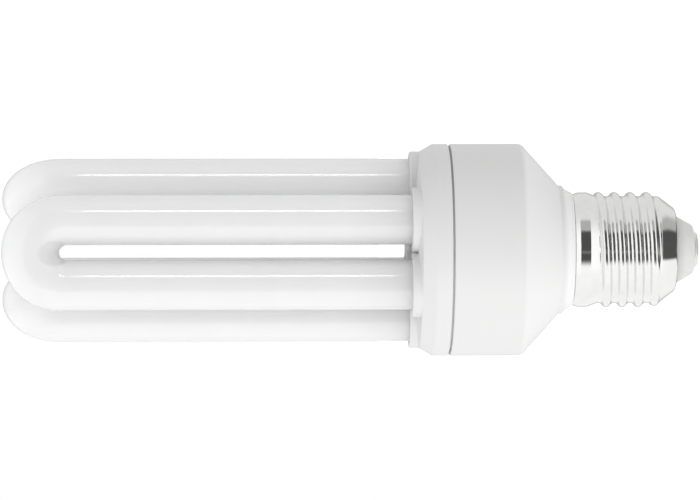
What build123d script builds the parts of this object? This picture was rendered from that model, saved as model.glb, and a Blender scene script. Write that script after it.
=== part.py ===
from build123d import *
import os
from math import cos, hypot, radians, sin, sqrt

# Self-ballasted compact fluorescent bulb. The lamp axis is Z, the contact face is at height 0
# and the tubes point up. All sizes are in millimetres.

# Screw cap, from the contact upwards
contact_radius = 4.0
contact_thickness = 1.0
contact_edge = 0.4
contact_stem_radius = 1.6
contact_stem_rise = 1.2
insulator_tip_radius = 5.5
insulator_edge = 0.5
insulator_height = 3.9
insulator_grip = 2.0
insulator_crown = 0.7
insulator_fit = 0.1
lip_radius = 7.9
shoulder_height = 3.65
shoulder_bulge = 0.2
sheet = 0.3
thread_root_radius = 12.1
thread_crest_radius = 13.07
thread_pitch = 3.629
thread_ridge_width = 2.5
thread_crest_width = 0.9
thread_zone = 15.55
thread_start_angle = 172
cap_rim_radius = 13.0
cap_rim_length = 4.1
cap_rim_flare = 0.7
cap_rim_roll = 1.5
cap_rim_turn = 0.35

# Base housing
housing_radius = 24.0
wall = 1.6
barrel_height = 16.2
cone_height = 8.2
neck_height = 3.8
neck_land = 0.6
neck_top_radius = 14.9
neck_bottom_radius = 12.85
neck_bead = 0.5
neck_bead_swell = 0.15
seam_bevel = 0.3
seam_gap = 0.7
seam_depth = 1.1
cap_fit = 0.15
spigot_wall = 1.4
spigot_length = 15.0
rib_count = 6
rib_width = 1.4
rib_depth = 2.2

# Tube holder, snapped into the housing
holder_height = 4.0
chamfer_height = 2.5
chamfer_width = 1.5
plate = 1.6
plate_land = 0.55
plate_land_draft = 0.25
plate_rise = 0.75
plate_crest_radius = 17.5
tab_length = 5.0
tab_width = 6.0
tab_thickness = 1.3
tab_fit = 0.15
hook_height = 1.4
hook_depth = 0.8
hook_rise = 1.4
collar_wall = 1.65
collar_height = 2.7
collar_edge = 0.4
collar_draft = 0.25
collar_land = 1.67

# Discharge tube
tube_diameter = 11.2
tube_fit = 0.15
limb_half_angle = 28.94
u_count = 3
tube_reach = 92.0
tube_insert = 11.6
bridge_diameter = 2.6
bridge_drop = 1.0
bridge_fit = 0.2

# Ballast board and the parts that hang under it
board_thickness = 1.6
board_fit = 0.4
board_play = 0.2
part_gap = 0.1
choke_width = 13.0
choke_depth = 6.0
choke_height = 12.0
choke_yoke = 2.0
choke_leg = 3.4
choke_outer_leg = 1.8
choke_place = 11.0
bobbin_wall = 0.6
bobbin_depth = 9.4
bobbin_fit = 0.1
toroid_radius = 4.8
toroid_bore_radius = 2.6
toroid_height = 4.4
toroid_place = 13.2
toroid_angle = 194
winding_wall = 0.5
winding_width = 2.5
winding_count = 3
reservoir_radius = 5.0
reservoir_length = 18.0
reservoir_drop = 17.6
reservoir_edge = 0.6
reservoir_lead_pitch = 5.0
component_lead = 0.6
film_sizes = {"resonant_capacitor": (10.5, 4.5, 9.0), "coupling_capacitor": (8.0, 4.0, 7.5)}
film_angles = {"resonant_capacitor": 147, "coupling_capacitor": 263}
film_place = 15.4
transistor_width = 7.8
transistor_thickness = 3.0
transistor_height = 10.8
transistor_lead_rise = 1.4
transistor_lead_pitch = 2.3
transistor_place = 14.5
transistor_angles = [336, 300]
diode_radius = 1.35
diode_length = 5.2
diode_pitch = 3.2
diode_count = 4
diode_row = -6.4
filter_radius = 3.2
filter_height = 8.0
filter_place = 15.8
filter_angle = 231
fuse_radius = 1.7
fuse_length = 9.0
fuse_place = 16.0
fuse_angle = 24
resistor_radius = 1.1
resistor_length = 5.5
resistor_places = {"base_resistor_1": (9.6, 1.6), "base_resistor_2": (12.0, 1.6), "start_resistor": (-5.6, 1.6)}
diac_radius = 0.95
diac_length = 4.0
diac_place = (-8.2, 3.4)

# Wires between tube, board and cap
post_width = 0.8
post_height = 1.2
post_inset = 2.4
post_angles = [-12, -4, 4, 12]
lead_radius = 0.25
lead_spread = 3.0
lead_gap = 0.3
wire_radius = 0.65
wire_bend = 1.6
wire_drop = 2.0
wire_angles = {"live_wire": 180, "neutral_wire": 0}

# Heights, stacked from the contact face
insulator_bottom = contact_thickness
lip_height = insulator_bottom + insulator_height
thread_bottom = lip_height + shoulder_height
thread_top = thread_bottom + thread_zone
neck_bottom = thread_top + cap_rim_length
cone_bottom = neck_bottom + neck_height
barrel_bottom = cone_bottom + cone_height
seam = barrel_bottom + barrel_height
chamfer_bottom = seam + holder_height
plate_top = chamfer_bottom + chamfer_height
plate_bottom = plate_top - plate
collar_top = plate_top + collar_height
tab_bottom = seam - tab_length
board_top = tab_bottom - board_play
board_bottom = board_top - board_thickness
tube_bottom = collar_top - tube_insert
spigot_bottom = neck_bottom - spigot_length

# Radii that follow from the fits
cavity_radius = housing_radius - wall
board_radius = cavity_radius - board_fit
shell_bore = thread_root_radius - sheet
spigot_radius = shell_bore - cap_fit
spigot_bore = spigot_radius - spigot_wall
tube_radius = tube_diameter / 2
collar_radius = tube_radius + collar_wall
tab_face = sqrt((cavity_radius - tab_fit) ** 2 - (tab_width / 2) ** 2)

# Limb places: the collars stand inside the housing's rim, and each U is square to its own radius
limb_circle = housing_radius - collar_land - collar_radius
limb_spacing = 2 * limb_circle * sin(radians(limb_half_angle))
u_offset = limb_circle * cos(radians(limb_half_angle))
u_angles = [-90 + index * 360 / u_count for index in range(u_count)]
limb_angles = [angle + side * limb_half_angle for angle in u_angles for side in (-1, 1)]


def polar(radius, angle, height=0.0):
    """Point at a radius and an angle in degrees about the lamp axis."""
    return Vector(radius * cos(radians(angle)), radius * sin(radians(angle)), height)


def facing_out(angle, radius, height):
    """Upright plane square to a radius, its X along the tangent and its Y up."""
    return Plane(origin=polar(radius, angle, height), x_dir=polar(1, angle + 90), z_dir=polar(1, angle))


def under_board(angle, radius):
    """Plane on the board's lower face that looks down, its X along the tangent."""
    return Plane(origin=polar(radius, angle, board_bottom), x_dir=polar(1, angle + 90), z_dir=(0, 0, -1))


def save(builder, name):
    """Label a finished piece and write it."""
    builder.part.label = name
    export_step(builder.part, f"parts/{name}.step")


limb_points = [polar(limb_circle, angle) for angle in limb_angles]
limb_places = [(point.X, point.Y) for point in limb_points]
# The tubes are joined in series, so the first gap of the ring has no bridge
bridge_ends = [
    (limb_points[2 * index + 1], limb_points[(2 * index + 2) % len(limb_points)])
    for index in range(1, u_count)
]
os.makedirs("parts", exist_ok=True)

# Discharge tube: three U bends of one sealed glass vessel, fused by bridges low between the collars
bend_height = collar_top + tube_reach - limb_spacing / 2 - tube_radius
bridge_height = collar_top - bridge_drop
with BuildPart() as discharge_tube:
    with BuildSketch(Plane.XY.offset(tube_bottom)):
        with Locations(*limb_places):
            Circle(tube_radius)
    extrude(amount=bend_height - tube_bottom)
    for angle in u_angles:
        with BuildSketch(Plane(origin=(0, 0, bend_height), x_dir=polar(1, angle), z_dir=(0, 0, 1))):
            with Locations((u_offset, limb_spacing / 2)):
                Circle(tube_radius)
        revolve(axis=Axis(polar(u_offset, angle, bend_height), polar(1, angle)), revolution_arc=180)
    for start, end in bridge_ends:
        with BuildSketch(Plane(origin=start + Vector(0, 0, bridge_height), z_dir=end - start)):
            Circle(bridge_diameter / 2)
        extrude(amount=(end - start).length)
save(discharge_tube, "discharge_tube")

# Tube holder: upper moulding, a shallow cup with a low cone on top, six collars round the limbs and snap tabs
with BuildPart() as tube_holder:
    with BuildSketch(Plane.XZ):
        with BuildLine():
            Polyline(
                (0, plate_bottom),
                (cavity_radius, plate_bottom),
                (cavity_radius, seam),
                (housing_radius - seam_depth, seam),
                (housing_radius - seam_depth, seam + seam_gap),
                (housing_radius - seam_bevel, seam + seam_gap),
                (housing_radius, seam + seam_gap + seam_bevel),
                (housing_radius, chamfer_bottom),
                (housing_radius - chamfer_width, plate_top),
                (housing_radius - chamfer_width - plate_land_draft, plate_top + plate_land),
                (plate_crest_radius, plate_top + plate_land + plate_rise),
                (0, plate_top + plate_land + plate_rise),
                close=True,
            )
        make_face()
    revolve(axis=Axis.Z)
    with Locations(*[(x, y, plate_bottom) for x, y in limb_places]):
        Cone(
            collar_radius + collar_draft,
            collar_radius,
            plate + collar_height - collar_edge,
            align=(Align.CENTER, Align.CENTER, Align.MIN),
        )
    with Locations(*[(x, y, collar_top - collar_edge) for x, y in limb_places]):
        Cone(
            collar_radius,
            collar_radius - collar_edge,
            collar_edge,
            align=(Align.CENTER, Align.CENTER, Align.MIN),
        )
    with BuildSketch(Plane.XY.offset(plate_bottom)):
        with Locations(*limb_places):
            Circle(tube_radius + tube_fit)
    extrude(amount=plate + collar_height, mode=Mode.SUBTRACT)
    # Notches, open at the top, let the bridges down between the collars
    notch_bottom = bridge_height - bridge_diameter / 2 - bridge_fit
    for start, end in bridge_ends:
        along = end - start
        middle = (start + end) / 2 + Vector(0, 0, notch_bottom)
        with BuildSketch(Plane(origin=middle, x_dir=along, z_dir=(0, 0, 1))):
            Rectangle(along.length, bridge_diameter + 2 * bridge_fit)
        extrude(amount=collar_top - notch_bottom, mode=Mode.SUBTRACT)
    for angle in u_angles:
        with BuildSketch(facing_out(angle, tab_face, tab_bottom)):
            Rectangle(tab_width, plate_bottom - tab_bottom, align=(Align.CENTER, Align.MIN))
        extrude(amount=-tab_thickness)
        with BuildSketch(facing_out(angle, tab_face, tab_bottom + hook_rise)):
            Rectangle(tab_width, hook_height, align=(Align.CENTER, Align.MIN))
        extrude(amount=hook_depth)
save(tube_holder, "tube_holder")

# Base housing: lower moulding, a hollow barrel, cone and neck with a spigot down into the cap
cone_slope = cone_height / (housing_radius - neck_top_radius)
inner_cone_foot = cone_bottom + wall * hypot(1, cone_slope)


def inner_cone(radius):
    """Height of the cone's inside face at a radius."""
    return inner_cone_foot + cone_slope * (radius - neck_top_radius)


with BuildPart() as base_housing:
    with BuildSketch(Plane.XZ):
        with BuildLine():
            Polyline(
                (spigot_bore, spigot_bottom),
                (spigot_radius, spigot_bottom),
                (spigot_radius, neck_bottom),
                (neck_bottom_radius, neck_bottom),
                (neck_bottom_radius + neck_bead_swell, neck_bottom + neck_bead),
                (neck_top_radius, cone_bottom - neck_land),
                (neck_top_radius, cone_bottom),
                (housing_radius, barrel_bottom),
                (housing_radius, seam - seam_bevel),
                (housing_radius - seam_bevel, seam),
                (cavity_radius, seam),
                (cavity_radius, inner_cone(cavity_radius)),
                (spigot_bore, inner_cone(spigot_bore)),
                close=True,
            )
        make_face()
    revolve(axis=Axis.Z)
    # Ribs on the barrel's inside wall carry the board
    with BuildSketch(Plane.XY.offset(board_bottom)):
        with PolarLocations(cavity_radius - rib_depth / 2 + wall / 4, rib_count):
            Rectangle(rib_depth + wall / 2, rib_width)
    extrude(amount=inner_cone(cavity_radius) - board_bottom)
    # Pockets take the holder's snap hooks
    for angle in u_angles:
        with BuildSketch(facing_out(angle, tab_face, tab_bottom + hook_rise - tab_fit)):
            Rectangle(
                tab_width + 2 * tab_fit,
                hook_height + 2 * tab_fit,
                align=(Align.CENTER, Align.MIN),
            )
        extrude(amount=hook_depth + tab_fit, mode=Mode.SUBTRACT)
save(base_housing, "base_housing")

# Screw shell: thin plated sheet with a rolled thread, drawn in to a lip at the foot
lip_point = Vector(lip_radius, lip_height)
shoulder_point = Vector(
    (lip_radius + thread_root_radius) / 2 + shoulder_bulge,
    (lip_height + thread_bottom) / 2 - shoulder_bulge,
)
thread_start = thread_bottom + thread_ridge_width / 2
thread_rise = thread_zone - thread_ridge_width
with BuildPart() as thread_ridge:
    with BuildLine() as thread_path:
        Helix(thread_pitch, thread_rise, thread_root_radius, center=(0, 0, thread_start))
    with BuildSketch(Plane.XZ):
        with BuildLine():
            Polyline(
                (thread_root_radius - sheet / 2, thread_start - thread_ridge_width / 2),
                (thread_crest_radius, thread_start - thread_crest_width / 2),
                (thread_crest_radius, thread_start + thread_crest_width / 2),
                (thread_root_radius - sheet / 2, thread_start + thread_ridge_width / 2),
                close=True,
            )
        make_face()
    sweep(path=thread_path.line, is_frenet=True)

with BuildPart() as screw_shell:
    with BuildSketch(Plane.XZ):
        with BuildLine():
            Polyline(
                lip_point,
                shoulder_point,
                (thread_root_radius, thread_bottom),
                (thread_root_radius, thread_top),
                (cap_rim_radius, thread_top + cap_rim_flare),
                (cap_rim_radius, neck_bottom - cap_rim_roll),
                (cap_rim_radius - cap_rim_turn, neck_bottom),
            )
            offset(amount=sheet, side=Side.LEFT)
        make_face()
    revolve(axis=Axis.Z)
    add(thread_ridge.part, rotation=(0, 0, thread_start_angle))
save(screw_shell, "screw_shell")

# Cap insulator: pale cone held by the shell's lip, with a hole for the contact's stem
shoulder_along = (shoulder_point - lip_point).normalized()
shoulder_inward = shoulder_along.rotate(Axis.Z, 90)
gripped = lip_point + shoulder_inward * (sheet + insulator_fit)
grip_edge = gripped + shoulder_along * insulator_grip
insulator_top = grip_edge.Y + insulator_crown
with BuildPart() as cap_insulator:
    with BuildSketch(Plane.XZ):
        with BuildLine():
            Polyline(
                (contact_stem_radius + insulator_fit, insulator_bottom),
                (insulator_tip_radius - insulator_edge, insulator_bottom),
                (insulator_tip_radius, insulator_bottom + insulator_edge),
                gripped,
                grip_edge,
                (grip_edge.X, insulator_top),
                (contact_stem_radius + insulator_fit, insulator_top),
                close=True,
            )
        make_face()
    revolve(axis=Axis.Z)
save(cap_insulator, "cap_insulator")

# Centre contact: button with a stem that is riveted through the insulator
stem_top = insulator_top + contact_stem_rise
with BuildPart() as centre_contact:
    with BuildSketch(Plane.XZ):
        with BuildLine():
            Polyline(
                (0, 0),
                (contact_radius - contact_edge, 0),
                (contact_radius, contact_edge),
                (contact_radius, contact_thickness),
                (contact_stem_radius, contact_thickness),
                (contact_stem_radius, stem_top),
                (0, stem_top),
                close=True,
            )
        make_face()
    revolve(axis=Axis.Z)
save(centre_contact, "centre_contact")

# Ballast board: round laminate between the housing's ribs and the holder's tabs
with BuildPart() as circuit_board:
    with BuildSketch(Plane.XY.offset(board_bottom)):
        Circle(board_radius)
    extrude(amount=board_thickness)
save(circuit_board, "circuit_board")

# Lamp choke: ferrite core with two windows, a bobbin on its middle leg and the winding
window_width = (choke_width - choke_leg) / 2 - choke_outer_leg
window_height = choke_height - 2 * choke_yoke
choke_angle = u_angles[0] + 180
with BuildPart() as choke_core:
    with BuildSketch(facing_out(choke_angle, choke_place, board_bottom - choke_height / 2)):
        Rectangle(choke_width, choke_height)
        with GridLocations(choke_leg + window_width, 0, 2, 1):
            Rectangle(window_width, window_height, mode=Mode.SUBTRACT)
    extrude(amount=choke_depth / 2, both=True)
save(choke_core, "choke_core")

window_plane = under_board(choke_angle, choke_place).offset(choke_yoke + bobbin_fit)
spool_height = window_height - 2 * bobbin_fit
spool_width = choke_leg + 2 * window_width - 2 * bobbin_fit
hub_width = choke_leg + 2 * bobbin_fit + 2 * bobbin_wall
hub_depth = choke_depth + 2 * bobbin_fit + 2 * bobbin_wall
with BuildPart() as choke_bobbin:
    with BuildSketch(window_plane, window_plane.offset(spool_height - bobbin_wall)):
        Rectangle(spool_width, bobbin_depth)
    extrude(amount=bobbin_wall)
    with BuildSketch(window_plane):
        Rectangle(hub_width, hub_depth)
    extrude(amount=spool_height)
    with BuildSketch(window_plane):
        Rectangle(choke_leg + 2 * bobbin_fit, choke_depth + 2 * bobbin_fit)
    extrude(amount=spool_height, mode=Mode.SUBTRACT)
save(choke_bobbin, "choke_bobbin")

with BuildPart() as choke_winding:
    with BuildSketch(window_plane.offset(bobbin_wall)):
        Rectangle(spool_width - bobbin_wall, bobbin_depth - bobbin_wall)
        Rectangle(hub_width, hub_depth, mode=Mode.SUBTRACT)
    extrude(amount=spool_height - 2 * bobbin_wall)
save(choke_winding, "choke_winding")

# Drive transformer: ferrite ring with three short windings, flat under the board
toroid_plane = under_board(toroid_angle, toroid_place).offset(part_gap + winding_wall)
with BuildPart() as toroid_core:
    with BuildSketch(toroid_plane):
        Circle(toroid_radius)
        Circle(toroid_bore_radius, mode=Mode.SUBTRACT)
    extrude(amount=toroid_height)
save(toroid_core, "toroid_core")

sleeve_bore = sqrt(toroid_bore_radius**2 - (winding_width / 2) ** 2) - part_gap
sleeve_middle = (sleeve_bore + toroid_radius + part_gap) / 2
sleeve_hole = toroid_radius + part_gap - sleeve_bore
for index in range(winding_count):
    turn = index * 360 / winding_count
    centre = polar(toroid_place, toroid_angle, toroid_plane.origin.Z - toroid_height / 2)
    with BuildPart() as toroid_winding:
        with BuildSketch(
            Plane(origin=centre + polar(sleeve_middle, turn), x_dir=polar(1, turn), z_dir=polar(1, turn + 90))
        ):
            Rectangle(sleeve_hole + 2 * winding_wall, toroid_height + 2 * winding_wall)
            Rectangle(sleeve_hole, toroid_height, mode=Mode.SUBTRACT)
        extrude(amount=winding_width / 2, both=True)
    save(toroid_winding, f"toroid_winding_{index + 1}")

# Reservoir capacitor: aluminium can that hangs on its leads down into the cap
with BuildPart() as reservoir_capacitor:
    with BuildSketch(Plane.XY.offset(board_bottom - reservoir_drop)):
        Circle(reservoir_radius)
    extrude(amount=-reservoir_length)
    chamfer(reservoir_capacitor.edges().group_by(Axis.Z)[0], reservoir_edge)
    with BuildSketch(Plane.XY.offset(board_bottom - reservoir_drop)):
        with GridLocations(reservoir_lead_pitch, 0, 2, 1):
            Rectangle(component_lead, component_lead)
    extrude(amount=reservoir_drop)
save(reservoir_capacitor, "reservoir_capacitor")

# Film capacitors: dipped blocks that stand on the board near its edge
for name, (width, depth, height) in film_sizes.items():
    with BuildPart() as film_capacitor:
        with BuildSketch(under_board(film_angles[name], film_place)):
            Rectangle(width, depth)
        extrude(amount=height)
        chamfer(film_capacitor.edges().group_by(Axis.Z)[0], component_lead)
    save(film_capacitor, name)

# Switching transistors: moulded bodies on three short leads
for index, angle in enumerate(transistor_angles):
    with BuildPart() as transistor:
        with BuildSketch(under_board(angle, transistor_place)):
            with GridLocations(transistor_lead_pitch, 0, 3, 1):
                Rectangle(component_lead, component_lead)
        extrude(amount=transistor_lead_rise)
        with BuildSketch(under_board(angle, transistor_place).offset(transistor_lead_rise)):
            Rectangle(transistor_width, transistor_thickness)
        extrude(amount=transistor_height)
    save(transistor, f"transistor_{index + 1}")


def save_axial(name, centre, direction, radius, length):
    """Write a round body that lies under the board, its axis level."""
    with BuildPart() as axial:
        with BuildSketch(Plane(origin=centre - Vector(0, 0, radius + part_gap), z_dir=direction)):
            Circle(radius)
        extrude(amount=length / 2, both=True)
    save(axial, name)


# Mains rectifier: four diodes in a row
for index in range(diode_count):
    row_x = (index - (diode_count - 1) / 2) * diode_pitch
    centre = Vector(row_x, diode_row, board_bottom)
    save_axial(f"rectifier_diode_{index + 1}", centre, (0, 1, 0), diode_radius, diode_length)

# Fuse resistor, base and start resistors and the trigger diac
fuse_centre = polar(fuse_place, fuse_angle, board_bottom)
save_axial("fuse_resistor", fuse_centre, polar(1, fuse_angle + 90), fuse_radius, fuse_length)
for name, (place_x, place_y) in resistor_places.items():
    save_axial(name, Vector(place_x, place_y, board_bottom), (0, 1, 0), resistor_radius, resistor_length)
save_axial("diac", Vector(*diac_place, board_bottom), (0, 1, 0), diac_radius, diac_length)

# Input filter inductor: wound drum in a sleeve, standing on the board
with BuildPart() as filter_inductor:
    with BuildSketch(under_board(filter_angle, filter_place)):
        Circle(filter_radius)
    extrude(amount=filter_height)
save(filter_inductor, "filter_inductor")

# Lead posts on the board and the leads from the two limbs that hold the filaments
first_gap = (limb_angles[1] + limb_angles[2]) / 2
for index, offset_angle in enumerate(post_angles):
    limb = 1 + index // 2
    foot = polar(board_radius - post_inset, first_gap + offset_angle, board_top)
    with BuildPart() as lead_post:
        with BuildSketch(Plane(origin=foot, x_dir=polar(1, first_gap), z_dir=(0, 0, 1))):
            Rectangle(post_width, post_width)
        extrude(amount=post_height)
    save(lead_post, f"lead_post_{index + 1}")

    side = (index % 2 - 0.5) * lead_spread
    lead_start = limb_points[limb] + polar(side, limb_angles[limb] + 90, tube_bottom - lead_gap)
    lead_end = foot + Vector(0, 0, post_height + lead_gap)
    with BuildPart() as filament_lead:
        with BuildSketch(Plane(origin=lead_start, z_dir=lead_end - lead_start)):
            Circle(lead_radius)
        extrude(amount=(lead_end - lead_start).length)
    save(filament_lead, f"filament_lead_{index + 1}")

# Supply wires: from the board down past the capacitor, to the contact's stem and to the shell
wire_run = (reservoir_radius + spigot_bore) / 2
wire_ends = {
    "live_wire": Vector(0, 0, stem_top + 2 * wire_radius),
    "neutral_wire": polar(shell_bore - lead_gap, wire_angles["neutral_wire"], thread_bottom + wire_bend),
}
for name, angle in wire_angles.items():
    with BuildPart() as supply_wire:
        with BuildLine() as route:
            FilletPolyline(
                polar(wire_run, angle, board_bottom),
                polar(wire_run, angle, spigot_bottom - wire_drop),
                wire_ends[name],
                radius=wire_bend,
            )
        with BuildSketch(Plane(origin=route.line @ 0, z_dir=route.line % 0)):
            Circle(wire_radius)
        sweep(path=route.line)
    save(supply_wire, name)
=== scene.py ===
from math import atan2, cos, hypot, pi, radians, sin, sqrt

import bpy
from mathutils import Matrix, Vector


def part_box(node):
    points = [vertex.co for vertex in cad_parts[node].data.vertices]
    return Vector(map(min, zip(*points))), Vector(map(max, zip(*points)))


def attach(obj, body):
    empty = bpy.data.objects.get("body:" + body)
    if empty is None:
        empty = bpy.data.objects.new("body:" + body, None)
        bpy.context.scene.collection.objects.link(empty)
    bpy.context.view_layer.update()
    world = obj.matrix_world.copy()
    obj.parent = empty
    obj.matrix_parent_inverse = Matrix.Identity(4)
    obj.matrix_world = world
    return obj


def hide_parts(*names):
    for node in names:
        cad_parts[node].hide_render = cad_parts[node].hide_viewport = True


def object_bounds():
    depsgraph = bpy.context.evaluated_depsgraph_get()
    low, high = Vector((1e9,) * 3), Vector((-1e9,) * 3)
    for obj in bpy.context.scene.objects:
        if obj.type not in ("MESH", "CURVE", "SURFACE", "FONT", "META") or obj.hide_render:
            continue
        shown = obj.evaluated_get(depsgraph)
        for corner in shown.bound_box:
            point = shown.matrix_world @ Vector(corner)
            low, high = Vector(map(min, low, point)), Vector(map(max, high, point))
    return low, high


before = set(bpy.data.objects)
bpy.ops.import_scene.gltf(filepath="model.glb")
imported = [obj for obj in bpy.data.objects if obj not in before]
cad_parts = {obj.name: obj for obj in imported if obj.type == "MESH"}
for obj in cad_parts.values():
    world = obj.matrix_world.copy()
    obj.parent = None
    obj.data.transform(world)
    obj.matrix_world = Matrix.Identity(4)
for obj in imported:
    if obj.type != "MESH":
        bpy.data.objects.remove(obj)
cad_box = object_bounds()

# Centre contact: the round button at the foot of the cap that meets the lampholder's spring.
# It is stamped from tinned brass, and its stem is riveted through the insulator.
MM = 0.001
_, contact_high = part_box("centre_contact")
contact_radius = contact_high.x
contact_thickness = 1.0 * MM
contact_dome = 0.12 * MM
contact_edge_width = 0.5 * MM
contact_edge_height = 0.4 * MM
contact_face_rounding = 0.15 * MM
contact_side_rounding = 0.2 * MM
contact_steps = 64
stem_radius = 1.6 * MM
stem_rounding = 0.15 * MM
merge_length = 0.001 * MM


def pick(piece, wanted):
    """Go to edit mode with just the vertices selected whose place passes a test."""
    bpy.ops.object.mode_set(mode="OBJECT")
    for part in (piece.data.polygons, piece.data.edges):
        part.foreach_set("select", [False] * len(part))
    for vertex in piece.data.vertices:
        vertex.select = wanted(vertex.co)
    bpy.ops.object.mode_set(mode="EDIT")
    bpy.ops.mesh.select_mode(type="VERT")


def shade(piece, sharp_from=32):
    """Smooth shading that keeps edges sharper than an angle and lets broad faces rule."""
    bpy.ops.object.select_all(action="DESELECT")
    bpy.context.view_layer.objects.active = piece
    piece.select_set(True)
    bpy.ops.object.shade_smooth_by_angle(angle=radians(sharp_from))
    broad = piece.modifiers.new("broad_faces", "WEIGHTED_NORMAL")
    broad.keep_sharp = True
    bpy.ops.object.modifier_apply(modifier=broad.name)


def turned_piece(name, corners, closed=True, steps=128, cuts=()):
    """Spin a section of (radius, height, rounding) corners round the lamp axis.

    Each of the cuts is two corners, by number, and how often the edge between them is divided."""
    bpy.ops.object.select_all(action="DESELECT")
    bpy.ops.mesh.primitive_circle_add(vertices=len(corners), radius=contact_radius)
    piece = bpy.context.object
    piece.name = name
    piece.data.name = name
    places = [Vector((radius, 0, height)) for radius, height, _ in corners]
    for vertex, place in zip(piece.data.vertices, places):
        vertex.co = place

    def pick_corners(*numbers):
        pick(piece, lambda at: any((at - places[number]).length < merge_length for number in numbers))

    if not closed:
        pick_corners(0, -1)
        bpy.ops.mesh.delete(type="EDGE")
    for first, last, count in cuts:
        pick_corners(first, last)
        bpy.ops.mesh.subdivide(number_cuts=count)
    for number, (_, _, rounding) in enumerate(corners):
        if rounding:
            pick_corners(number)
            bpy.ops.mesh.bevel(offset=rounding, segments=4, affect="VERTICES")
    bpy.ops.object.mode_set(mode="EDIT")
    bpy.ops.mesh.select_all(action="SELECT")
    bpy.ops.mesh.spin(steps=steps, angle=2 * pi, center=(0, 0, 0), axis=(0, 0, 1))
    bpy.ops.mesh.select_all(action="SELECT")
    bpy.ops.mesh.remove_doubles(threshold=merge_length)
    bpy.ops.mesh.normals_make_consistent(inside=False)
    bpy.ops.object.mode_set(mode="OBJECT")
    return piece


def new_material(name):
    """A material with its node tree and its Principled shader."""
    material = bpy.data.materials.new(name)
    material.use_nodes = True
    return material, material.node_tree, material.node_tree.nodes["Principled BSDF"]


def fine_noise_group():
    """Node group: noise on the piece's own coordinates, stretched and brought between two values."""
    group = bpy.data.node_groups.new("fine_noise", "ShaderNodeTree")
    for socket, value in (("Scale", 100.0), ("Stretch", 1.0), ("Low", 0.0), ("High", 1.0)):
        made = group.interface.new_socket(socket, in_out="INPUT", socket_type="NodeSocketFloat")
        made.default_value = value
    group.interface.new_socket("Value", in_out="OUTPUT", socket_type="NodeSocketFloat")
    inside = group.nodes.new("NodeGroupInput")
    outside = group.nodes.new("NodeGroupOutput")
    place = group.nodes.new("ShaderNodeTexCoord")
    stretch = group.nodes.new("ShaderNodeVectorMath")
    stretch.operation = "MULTIPLY"
    along = group.nodes.new("ShaderNodeCombineXYZ")
    along.inputs["X"].default_value = 1.0
    along.inputs["Y"].default_value = 1.0
    noise = group.nodes.new("ShaderNodeTexNoise")
    noise.inputs["Detail"].default_value = 4.0
    levels = group.nodes.new("ShaderNodeMapRange")
    levels.inputs["From Min"].default_value = 0.25
    levels.inputs["From Max"].default_value = 0.75
    join = group.links.new
    join(inside.outputs["Stretch"], along.inputs["Z"])
    join(place.outputs["Object"], stretch.inputs[0])
    join(along.outputs["Vector"], stretch.inputs[1])
    join(stretch.outputs["Vector"], noise.inputs["Vector"])
    join(inside.outputs["Scale"], noise.inputs["Scale"])
    join(noise.outputs["Fac"], levels.inputs["Value"])
    join(inside.outputs["Low"], levels.inputs["To Min"])
    join(inside.outputs["High"], levels.inputs["To Max"])
    join(levels.outputs["Result"], outside.inputs["Value"])
    return group


fine_noise = fine_noise_group()


def noise_value(tree, scale, low=0.0, high=1.0, stretch=1.0):
    """Place the shared noise in a material and give its output."""
    node = tree.nodes.new("ShaderNodeGroup")
    node.node_tree = fine_noise
    node.inputs["Scale"].default_value = scale
    node.inputs["Stretch"].default_value = stretch
    node.inputs["Low"].default_value = low
    node.inputs["High"].default_value = high
    return node.outputs["Value"]


def add_bump(tree, shader, height, distance):
    """Raise the surface of a shader by a height output."""
    bump = tree.nodes.new("ShaderNodeBump")
    bump.inputs["Distance"].default_value = distance
    tree.links.new(height, bump.inputs["Height"])
    tree.links.new(bump.outputs["Normal"], shader.inputs["Normal"])


def blend_colours(tree, factor, first, second):
    """Mix two colours, or a colour output and a colour, by a factor output and give the result."""
    mix = tree.nodes.new("ShaderNodeMix")
    mix.data_type = "RGBA"
    for socket, colour in (("A", first), ("B", second)):
        if isinstance(colour, tuple):
            mix.inputs[socket].default_value = (*colour, 1.0)
        else:
            tree.links.new(colour, mix.inputs[socket])
    tree.links.new(factor, mix.inputs["Factor"])
    return mix.outputs["Result"]


tinned_brass, tree, shader = new_material("tinned_brass")
shader.inputs["Metallic"].default_value = 1.0
tin = blend_colours(tree, noise_value(tree, 900), (0.8, 0.8, 0.79), (0.9, 0.9, 0.88))
tree.links.new(tin, shader.inputs["Base Color"])
tree.links.new(noise_value(tree, 2500, 0.5, 0.65), shader.inputs["Roughness"])
add_bump(tree, shader, noise_value(tree, 1800), 0.02 * MM)

contact = turned_piece(
    "contact_button",
    [
        (0, 0, 0),
        (contact_radius - contact_edge_width, contact_dome, contact_face_rounding),
        (contact_radius, contact_dome + contact_edge_height, contact_side_rounding),
        (contact_radius, contact_thickness, 0),
        (stem_radius, contact_thickness, 0),
        (stem_radius, contact_high.z, stem_rounding),
        (0, contact_high.z, 0),
    ],
    closed=False,
    steps=contact_steps,
)
shade(contact)
contact.data.materials.append(tinned_brass)
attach(contact, "root")
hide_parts("centre_contact")

# Cap insulator: the pale cone between contact and screw sleeve. It is moulded in place, so it
# fills the sleeve's lip, and its outer edge is soft.
insulator_low, insulator_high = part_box("cap_insulator")
insulator_tip_radius = 5.4 * MM
insulator_tip_edge = 0.7 * MM
insulator_grip_radius = insulator_high.x
insulator_grip_rounding = 0.3 * MM
insulator_rim = 0.7 * MM
insulator_rim_rounding = 0.2 * MM
insulator_fit = 0.12 * MM
insulator_steps = 96
lip_radius = 7.9 * MM
lip_height = 4.9 * MM
lip_cover = 0.3 * MM
lip_shade = 1.8 * MM


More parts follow.
